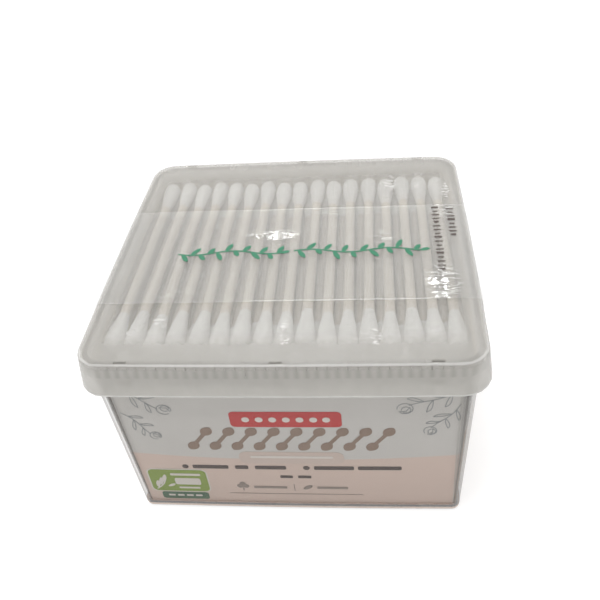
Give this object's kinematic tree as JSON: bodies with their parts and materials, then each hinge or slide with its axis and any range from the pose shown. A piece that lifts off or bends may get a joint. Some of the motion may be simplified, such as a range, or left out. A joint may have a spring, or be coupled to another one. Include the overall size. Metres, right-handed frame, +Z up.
{
  "type": "cotton swab box",
  "caption": "Rectangular clear plastic tub with a snap lid, a printed card liner, a seal band of film and a full stack of double-ended cotton swabs.",
  "frame": {"origin": "middle of the surface that the box stands on, at the height of its foot ring", "axes": "+X along the long front, +Y from the printed front to the back, +Z up through the lid"},
  "size_m": [0.1, 0.0928, 0.0623],
  "materials": {
    "clear_plastic": "hazy moulded polypropylene, satin",
    "printed_card": "matt printed card, pale above and beige below, tan inside",
    "clear_film": "clear shrunk film, glossy with fine wrinkles",
    "cotton": "wound white cotton, matt and fuzzy",
    "paper_stick": "rolled cream paper, matt"
  },
  "bodies": {
    "root": {"card_liner": "printed_card", "lid": "clear_plastic", "seal_band": "clear_film", "swabs_layer_01": "cotton", "swabs_layer_02": "cotton", "swabs_layer_03": "cotton", "swabs_layer_04": "cotton", "swabs_layer_05": "cotton", "swabs_layer_06": "cotton", "swabs_layer_07": "cotton", "swabs_layer_08": "cotton", "swabs_layer_09": "cotton", "swabs_layer_10": "cotton", "swabs_layer_11": "cotton", "swabs_layer_12": "cotton", "top_swab_01_cotton": "cotton", "top_swab_01_stick": "paper_stick", "top_swab_02_cotton": "cotton", "top_swab_02_stick": "paper_stick", "top_swab_03_cotton": "cotton", "top_swab_03_stick": "paper_stick", "top_swab_04_cotton": "cotton", "top_swab_04_stick": "paper_stick", "top_swab_05_cotton": "cotton", "top_swab_05_stick": "paper_stick", "top_swab_06_cotton": "cotton", "top_swab_06_stick": "paper_stick", "top_swab_07_cotton": "cotton", "top_swab_07_stick": "paper_stick", "top_swab_08_cotton": "cotton", "top_swab_08_stick": "paper_stick", "top_swab_09_cotton": "cotton", "top_swab_09_stick": "paper_stick", "top_swab_10_cotton": "cotton", "top_swab_10_stick": "paper_stick", "top_swab_11_cotton": "cotton", "top_swab_11_stick": "paper_stick", "top_swab_12_cotton": "cotton", "top_swab_12_stick": "paper_stick", "top_swab_13_cotton": "cotton", "top_swab_13_stick": "paper_stick", "top_swab_14_cotton": "cotton", "top_swab_14_stick": "paper_stick", "top_swab_15_cotton": "cotton", "top_swab_15_stick": "paper_stick", "top_swab_16_cotton": "cotton", "top_swab_16_stick": "paper_stick", "top_swab_17_cotton": "cotton", "top_swab_17_stick": "paper_stick", "tub": "clear_plastic"}
  },
  "joints": []
}
